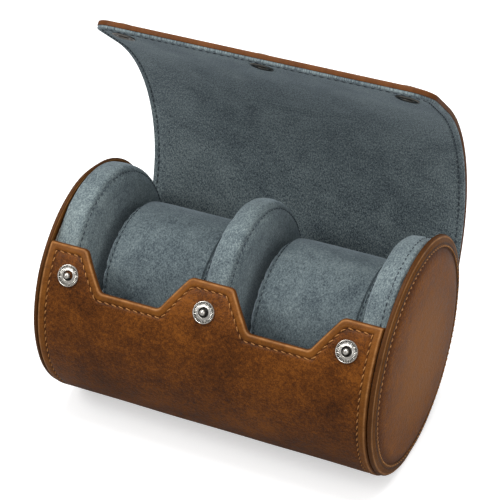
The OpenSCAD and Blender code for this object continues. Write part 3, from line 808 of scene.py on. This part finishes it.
pillow_angles = np.linspace(0, 2 * np.pi, 145)[:-1] + 0.5 * np.pi / 72
for name, side in (("left", -1), ("right", 1)):
    outline = pillow_outline()
    start = pillow_rows(side * PILLOW_X + PUSHED, outline, pillow_angles)
    seam_rows = [int(np.argmin(np.abs(outline[:, 0] - place) + (outline[:, 1] > 4 * MM)))
                 for place in (pillow_seam, PILLOW_W - pillow_seam)]
    held = np.zeros(start.shape[:2], bool)
    held[seam_rows] = True
    held |= start[..., 2] < AXIS_H + pillow_low + 0.8 * MM
    pillow = make_piece(name + "_pillow_suede", inflate(start, held, PILLOW_SWELL), caps=False)
    fit(pillow, pad_suede, name + "_pillow", "suede", name + "_pillow_cover")
    centre = (0, PILLOW_BACK, AXIS_H)
    seams = join([seam_tubes(start[row], centre) for row in seam_rows])
    fit(make_tubes(name + "_pillow_thread", seams), dark_thread, name + "_pillow", "suede")

# Flap
# The drum's leather goes on over the back as one flap, doubled and lined with suede and sewn round its
# edge. It is one soft piece, cut here across its strips into lengths.
FLAP_LEN = 135.5 * MM
FLAP_T = 3.5 * MM
FLAP_LINING_T = 1.3 * MM
STRIP = FLAP_LEN / 7
TIP_CORNER = 9 * MM
LEAN = 29.5
LOW_BEND = (68 * MM, math.radians(36))
HIGH_BEND = (87 * MM, math.radians(43))
FOLD_END = 6 * MM
FLAP_SEAM = 2.6 * MM
FLAP_PITCH = 3 * MM


def flap_heading(s):
    """Direction of the open flap at s along it: two bends, then straight."""
    low, high = LOW_BEND[0] * LOW_BEND[1], HIGH_BEND[0] * HIGH_BEND[1]
    turn = LOW_BEND[1] * np.clip(s / low, 0, 1) + HIGH_BEND[1] * np.clip((s - low) / high, 0, 1)
    return math.radians(90 - LEAN) + turn


def flap_table():
    """Places on the flap's suede face at rest, as s, y, z and heading, summed along the headings. The
    fold itself eases into the drum by a curve with the tangents of both."""
    s = np.linspace(0, FLAP_LEN, 5421)
    heading = flap_heading(s)
    middle = flap_heading((s[1:] + s[:-1]) / 2)
    step = np.diff(s)
    y = INSIDE_R + join([[0], np.cumsum(step * np.cos(middle))])
    z = AXIS_H + join([[0], np.cumsum(step * np.sin(middle))])
    below = FOLD_JOIN / SHELL_R
    a = np.array([INSIDE_R * math.cos(below), AXIS_H - INSIDE_R * math.sin(below)])
    n = int(np.searchsorted(s, FOLD_END))
    b = np.array([y[n], z[n]])
    reach = np.linalg.norm(b - a) / 3
    a_way, b_way = (np.array([math.cos(way), math.sin(way)]) for way in (math.pi / 2 - below, heading[n]))
    t = np.linspace(0, 1, 81)[:-1, None]
    p, q = a + reach * a_way, b - reach * b_way
    curve = (1 - t) ** 3 * a + 3 * t * (1 - t) ** 2 * p + 3 * t ** 2 * (1 - t) * q + t ** 3 * b
    tangent = (1 - t) ** 2 * (p - a) + 2 * t * (1 - t) * (q - p) + t ** 2 * (b - q)
    fold = (t[:, 0] * (FOLD_END + FOLD_JOIN) - FOLD_JOIN, *curve.T, np.arctan2(tangent[:, 1], tangent[:, 0]))
    return [join([before, after[n:]]) for before, after in zip(fold, (s, y, z, heading))]


table_s, table_y, table_z, table_heading = flap_table()


def flap_point(x, s, h):
    """A point h outside the suede face of the flap, at x across it and s along it."""
    y, z = np.interp(s, table_s, table_y), np.interp(s, table_s, table_z)
    heading = np.interp(s, table_s, table_heading)
    return together(x, y + h * np.sin(heading), z - h * np.cos(heading))


def flap_half(s):
    """Half the flap's width at s: full, then drawn in round the tip's corners."""
    into = np.clip(s - (FLAP_LEN - TIP_CORNER), 0, TIP_CORNER)
    return SHELL_HALF - TIP_CORNER + np.sqrt(TIP_CORNER ** 2 - into ** 2)


def from_flap_edge(x, s):
    """Distance from the flap's sides and tip, round its corners too."""
    across = np.abs(x) - (SHELL_HALF - TIP_CORNER)
    along = s - (FLAP_LEN - TIP_CORNER)
    corner = TIP_CORNER - np.hypot(np.maximum(across, 0), np.maximum(along, 0))
    return np.maximum(np.where((across > 0) & (along > 0), corner, TIP_CORNER - np.maximum(across, along)), 0)


side_insets = MM * np.array([
    0, 0.04, 0.12, 0.25, 0.42, 0.65, 0.9, 1.3, 1.7, 2.0, 2.25, 2.5, 2.75, 3.0, 3.4, 4.0])
ends_at = join([[-FOLD_JOIN], (np.arange(6) + 0.5) * STRIP, [122 * MM], [FLAP_LEN]])


def flap_layer(start, end, low, high, inset, under, over):
    """Points, skin and edge distance of a layer of the flap from s = start to end. low and high give its
    heights at s, inset how far its edge stands back, under and over the rounding of its edges."""
    count = max(2, round((end - start) / (1.25 * MM)))
    rows = np.linspace(start, end, count + 1)
    if end >= FLAP_LEN:
        rows = join([rows[rows < end - 5 * MM], (FLAP_LEN - side_insets)[::-1]])
    inner = np.linspace(-1, 1, 109)[1:-1]
    across = SHELL_HALF - side_insets
    x = join([-across, inner * across[-1], across[::-1]])
    x = join([x, x[::-1]])[None] * (flap_half(rows) / SHELL_HALF)[:, None]
    s = np.broadcast_to(rows[:, None], x.shape).copy()
    outside = np.arange(x.shape[1]) < x.shape[1] // 2
    edge = from_flap_edge(x, s)
    groove = np.exp(-((edge - FLAP_SEAM) / (0.5 * MM)) ** 2) * 0.28 * MM
    wave = unevenness(x * 0.8, s * 0.8, 0.12 * MM) * np.clip((FLAP_LEN - s) / (30 * MM), 0, 1)
    wave *= np.clip((s + FOLD_JOIN) / (12 * MM), 0, 1)
    upper = high(s) + rounded(edge, over) - (groove if over > 0.7 * MM else 0)
    lower = low(s) - rounded(edge, under) + (groove if under > 0.4 * MM else 0)
    h = np.where(outside, upper, lower) + wave
    shrink = np.clip(1 - inset / SHELL_HALF, 0, 1)
    near_tip = np.clip((s - (FLAP_LEN - 6 * MM)) / (6 * MM), 0, 1)
    return flap_point(x * shrink, s - inset * near_tip, h), together(x, s), edge / MM


flap_skin = leather("flap_cognac", cloud_dark, cloud_middle, cloud_light, srgb(150, 92, 44), FLAP_SEAM / MM)
flap_nap = suede("flap_suede", (99, 111, 115), 1.35, "skin")


def eased(at_fold, further):
    """A height that changes smoothly from the drum's own layers to the flap's over the fold."""
    return lambda s: at_fold + (further - at_fold) * np.clip((s + FOLD_JOIN) / (FOLD_END + FOLD_JOIN), 0, 1)


def flap_edge_path(h):
    """The flap's sewing line at a height h, from the left of the fold round the tip to the right, as s
    and points."""
    up = np.linspace(-FOLD_JOIN, FLAP_LEN - TIP_CORNER, 260)[:-1]
    turn = np.linspace(0, np.pi / 2, 30)
    small = TIP_CORNER - FLAP_SEAM
    x = join([np.full(259, SHELL_HALF - FLAP_SEAM), SHELL_HALF - TIP_CORNER + small * np.cos(turn)])
    s = join([up, FLAP_LEN - TIP_CORNER + small * np.sin(turn)])
    across = np.linspace(-1, 1, 90)[1:-1] * (SHELL_HALF - TIP_CORNER)
    x = join([-x, across, x[::-1]])
    s = join([s, np.full(88, FLAP_LEN - FLAP_SEAM), s[::-1]])
    return s, flap_point(x, s, h)


def flap_stitches(h, way, radius):
    """The flap's stitches on one face, and where each stands along the flap."""
    s, path = flap_edge_path(h)
    _, other = flap_edge_path(h + way * MM)
    tubes, spot = stitch_tubes(path, other - path, FLAP_PITCH, 0.7, radius, 0.2 * MM)
    return tubes, np.interp(spot, distance_along(path), s)


def bend_with_flap(piece, k):
    """The last length rides on flap_strip_7. Any other only has its transform baked in, and the points about
    its joint are worked out but not used.
    """
    if k == 8:
        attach(piece, "flap_strip_7")
        return
    joint = (k - 1) * STRIP
    reach = (4 * MM, 9 * MM) if k == 1 else (8 * MM, 8 * MM) if k < 7 else (5.6 * MM, 5.6 * MM)
    start, end = (Vector(flap_point(0, joint + way, 0).tolist()) for way in (-reach[0], reach[1]))
    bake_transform(piece)
    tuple(start)
    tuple(end)


inner_tubes, inner_at = flap_stitches(0.05 * MM, -1, 0.24 * MM)
outer_tubes, outer_at = flap_stitches(FLAP_T - 0.3 * MM, 1, THREAD_R)
for k in range(1, 9):
    start, end = ends_at[k - 1], ends_at[k]
    points, skin, edge = flap_layer(start, end, eased(1.8 * MM, FLAP_LINING_T), eased(SHELL_T, FLAP_T), 0.0,
                                    0.15 * MM, 0.95 * MM)
    hide = make_piece(f"flap_hide_{k}", points, uv=skin, edge=edge)
    points, skin, edge = flap_layer(start, end, eased(0.0, 0.0), eased(0.9 * MM, FLAP_LINING_T - 0.03 * MM),
                                    0.25 * MM, 0.6 * MM, 0.05 * MM)
    nap = make_piece(f"flap_nap_{k}", points, uv=skin, edge=edge)
    made = [(hide, flap_skin, "leather"), (nap, flap_nap, "suede")]
    for name, tubes, at, material, slot in (("inner", inner_tubes, inner_at, dark_thread, "suede"),
                                            ("outer", outer_tubes, outer_at, tan_thread, "leather")):
        here = (at >= start) & ((at < end) | (k == 8))
        made.append((make_tubes(f"flap_{name}_thread_{k}", tubes[here]), material, slot))
    for piece, material, slot in made:
        piece.data.materials.append(material)
        bend_with_flap(piece, k)
    if k < 8:
        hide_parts(f"flap_leather_{k}")
        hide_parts(f"flap_lining_{k}")

# Snap fasteners
# Ball studs with a rim of fine teeth are riveted to the front tabs. Dark socket rings with a bright
# spring inside are set in the flap, and domed caps close them on its outside.
STUD_DEG = math.radians(32.4)
STUD_X = 60.6 * MM
STUD_SEAT = 50.45 * MM
SOCKET_S = 126.5 * MM
snap_x = (-STUD_X, 0.0, STUD_X)


def antique(name, base, bright, roughness):
    """Dulled plated metal: dark in its hollows, bright on its ridges. edge tells how hollow a place is,
    from 0 to 1."""
    material, shader, start, where = new_material(name, {"Metallic": 1.0})
    hollow = start.node("Attribute", {"attribute_name": "edge"}, {}, "Fac")
    tarnish = noise(start, where, 900, 4, 0.65)
    colour = mix(start, hollow.between(0.0, 1.0) * 0.85 + tarnish * 0.2, bright, base)
    rough = roughness + (tarnish - 0.5) * 0.25 + hollow * 0.15
    connect(start, shader, colour, rough, noise(start, where, 2600, 3), 0.00003)
    return material


def turned_metal(name, profile, origins, out, up, teeth=(0, 0, 0)):
    """One mesh of the same part at several places: a profile of (radius, height, hollow) turned about the
    direction out. teeth is (least radius, greatest radius, depth) of a toothed ring."""
    angles = np.linspace(0, 2 * np.pi, 193)[:-1]
    toothed = (profile[:, 0] > teeth[0]) & (profile[:, 0] < teeth[1]) & (profile[:, 1] > 0.4 * MM)
    tooth = toothed[:, None] * np.cos(36 * angles)
    radius, height = profile[:, 0, None], profile[:, 1, None] + tooth * teeth[2]
    side = np.cross(up, out)
    grid = (radius[..., None] * (np.cos(angles)[:, None] * side + np.sin(angles)[:, None] * up)
            + height[..., None] * out)
    points = grid + np.array(origins)[:, None, None]
    hollow = np.broadcast_to(profile[:, 2, None] - tooth * 0.5, points.shape[:3])
    faces = grid_faces(*grid.shape[:2], len(origins))
    return make_mesh(name, points.reshape(-1, 3), faces, edge=hollow, sharp=math.radians(35))


silver = antique("antique_silver", srgb(22, 20, 18), srgb(214, 210, 202), 0.28)
gunmetal = antique("gunmetal", srgb(24, 22, 21), srgb(150, 144, 136), 0.3)
dress(silver, "snap_rivets", "snap_springs", "snap_caps")
stud_out = np.array([0, -math.cos(STUD_DEG), math.sin(STUD_DEG)])
stud_up = np.array([0, math.sin(STUD_DEG), math.cos(STUD_DEG)])
ball = np.radians(np.linspace(-40, 90, 13))
stud_flange = [
    [0, 0.02, 1], [4.3, 0.02, 1], [4.52, 0.1, 0.6], [4.6, 0.4, 0.2], [4.58, 0.72, 0], [4.45, 0.9, 0],
    [4.3, 0.93, 0], [4.2, 0.86, 0.2], [4.12, 0.62, 0.7], [3.9, 0.58, 0.6], [3.6, 0.62, 0.55],
    [3.42, 0.66, 0.4], [3.1, 0.7, 0.3], [2.8, 0.74, 0.25], [2.6, 0.82, 0.1], [2.45, 0.95, 0],
    [2.3, 0.98, 0], [2.12, 0.88, 0.3], [2.0, 0.6, 0.8], [1.9, 0.3, 1], [1.0, 0.3, 1]]
stud_ball = together(1.25 * np.cos(ball), 1.5 + 1.25 * np.sin(ball), 0.5 - 0.45 * np.sin(ball))
stud_profile = join([stud_flange, stud_ball]) * [MM, MM, 1]
stud_places = [np.array([x, 0, AXIS_H]) + STUD_SEAT * stud_out for x in snap_x]
STUD_TEETH = (3.3 * MM, 4.15 * MM, 0.16 * MM)
studs = turned_metal("stud_silver", stud_profile, stud_places, stud_out, stud_up, STUD_TEETH)
fit(studs, silver, "case", "snap_metal", "snap_studs")

socket_heading = float(flap_heading(SOCKET_S))
socket_out = np.array([0, -math.sin(socket_heading), math.cos(socket_heading)])
socket_up = np.array([0, math.cos(socket_heading), math.sin(socket_heading)])
socket_profile = np.array([
    [0, -1.6, 1], [3.1, -1.6, 1], [3.1, 0.02, 0.5], [4.5, 0.02, 0.8], [4.76, 0.1, 0.5], [4.8, 0.25, 0.3],
    [4.7, 0.42, 0.1], [4.55, 0.5, 0], [4.35, 0.5, 0.3], [4.1, 0.44, 0.8], [3.6, 0.38, 0.95],
    [3.1, 0.4, 0.9], [2.8, 0.46, 0.4], [2.5, 0.44, 0.1], [2.3, 0.28, 0.4], [2.25, 0.0, 0.7],
    [2.25, -1.1, 1], [1.8, -1.12, 0.9], [1.7, -1.1, 0.1], [0, -1.1, 0]]) * [MM, MM, 1]
socket_places = [flap_point(x, SOCKET_S, 0.0) for x in snap_x]
sockets = turned_metal("socket_ring", socket_profile, socket_places, socket_out, socket_up)
fit(sockets, gunmetal, "flap_strip_7", "socket_metal", "snap_sockets")

# The lining's tip has a round hole behind each socket, where a stud's ball comes in.
HOLE_R = 2.7 * MM
turn = np.linspace(0, 2 * np.pi, 49)[:-1, None]
ring = HOLE_R * (np.cos(turn) * np.cross(socket_up, socket_out) + np.sin(turn) * socket_up)
through = 2 * MM * socket_out
bores = np.array([[at + ring - through, at + ring + through] for at in socket_places])
drill = make_tubes("socket_holes", bores)
tip_nap = bpy.data.objects["flap_nap_8"]
holes = tip_nap.modifiers.new("holes", "BOOLEAN")
holes.operation = "DIFFERENCE"
holes.object = drill
drilled = bpy.data.meshes.new_from_object(tip_nap.evaluated_get(bpy.context.evaluated_depsgraph_get()))
tip_nap.modifiers.clear()
tip_nap.data = drilled
bpy.data.objects.remove(drill)

# Floor and light
# The case stands on a white sweep that runs out to pure white, lit by large soft boxes: one high on the
# left and in front, one weaker on the right, and one above.
corners = 4.0 * np.array([[-1, -1, 0], [1, -1, 0], [1, 1, 0], [-1, 1, 0]])
floor = make_mesh("white_sweep", corners, [[0, 1, 2, 3]])
if floor.data.polygons[0].normal.z < 0:
    floor.data.flip_normals()
sweep = bpy.data.materials.new("white_sweep")
sweep.use_nodes = True
tree = sweep.node_tree
tree.nodes.remove(tree.nodes["Principled BSDF"])
start = Wire(tree)
paper = start.node("BsdfDiffuse", {}, {"Color": (0.8, 0.8, 0.8, 1)})
glow = start.node("Emission", {}, {"Color": (1, 1, 1, 1), "Strength": 0.5})
both = start.node("AddShader", {}, {0: paper, 1: glow})
seen = start.node("LightPath", {}, {}, "Is Camera Ray")
dim = start.node("BsdfDiffuse", {}, {"Color": (0.4, 0.4, 0.4, 1)})
shown = start.node("MixShader", {}, {0: seen, 1: dim, 2: both})
tree.links.new(shown.socket, tree.nodes["Material Output"].inputs["Surface"])
floor.data.materials.append(sweep)

world = bpy.data.worlds.new("studio")
scene.world = world
world.use_nodes = True
tree = world.node_tree
start = Wire(tree)
seen = start.node("LightPath", {}, {}, "Is Camera Ray")
tree.nodes["Background"].inputs["Color"].default_value = (1, 1, 1, 1)
tree.links.new((0.5 + seen * 0.5).socket, tree.nodes["Background"].inputs["Strength"])


def soft_box(name, place, size, power):
    """A square area light that faces the case."""
    lamp = bpy.data.lights.new(name, "AREA")
    lamp.energy = power
    lamp.size = size
    holder = bpy.data.objects.new(name, lamp)
    holder.location = place
    holder.rotation_euler = (Vector(place) - Vector((0, 0, 0.06))).to_track_quat("Z", "Y").to_euler()
    scene.collection.objects.link(holder)


soft_box("key", (-0.75, -0.65, 1.0), 0.5, 6.8)
soft_box("fill", (1.0, -0.55, 0.55), 0.7, 3.5)
soft_box("top", (0.0, 0.0, 1.3), 0.8, 13.5)
scene.view_settings.view_transform = "Standard"
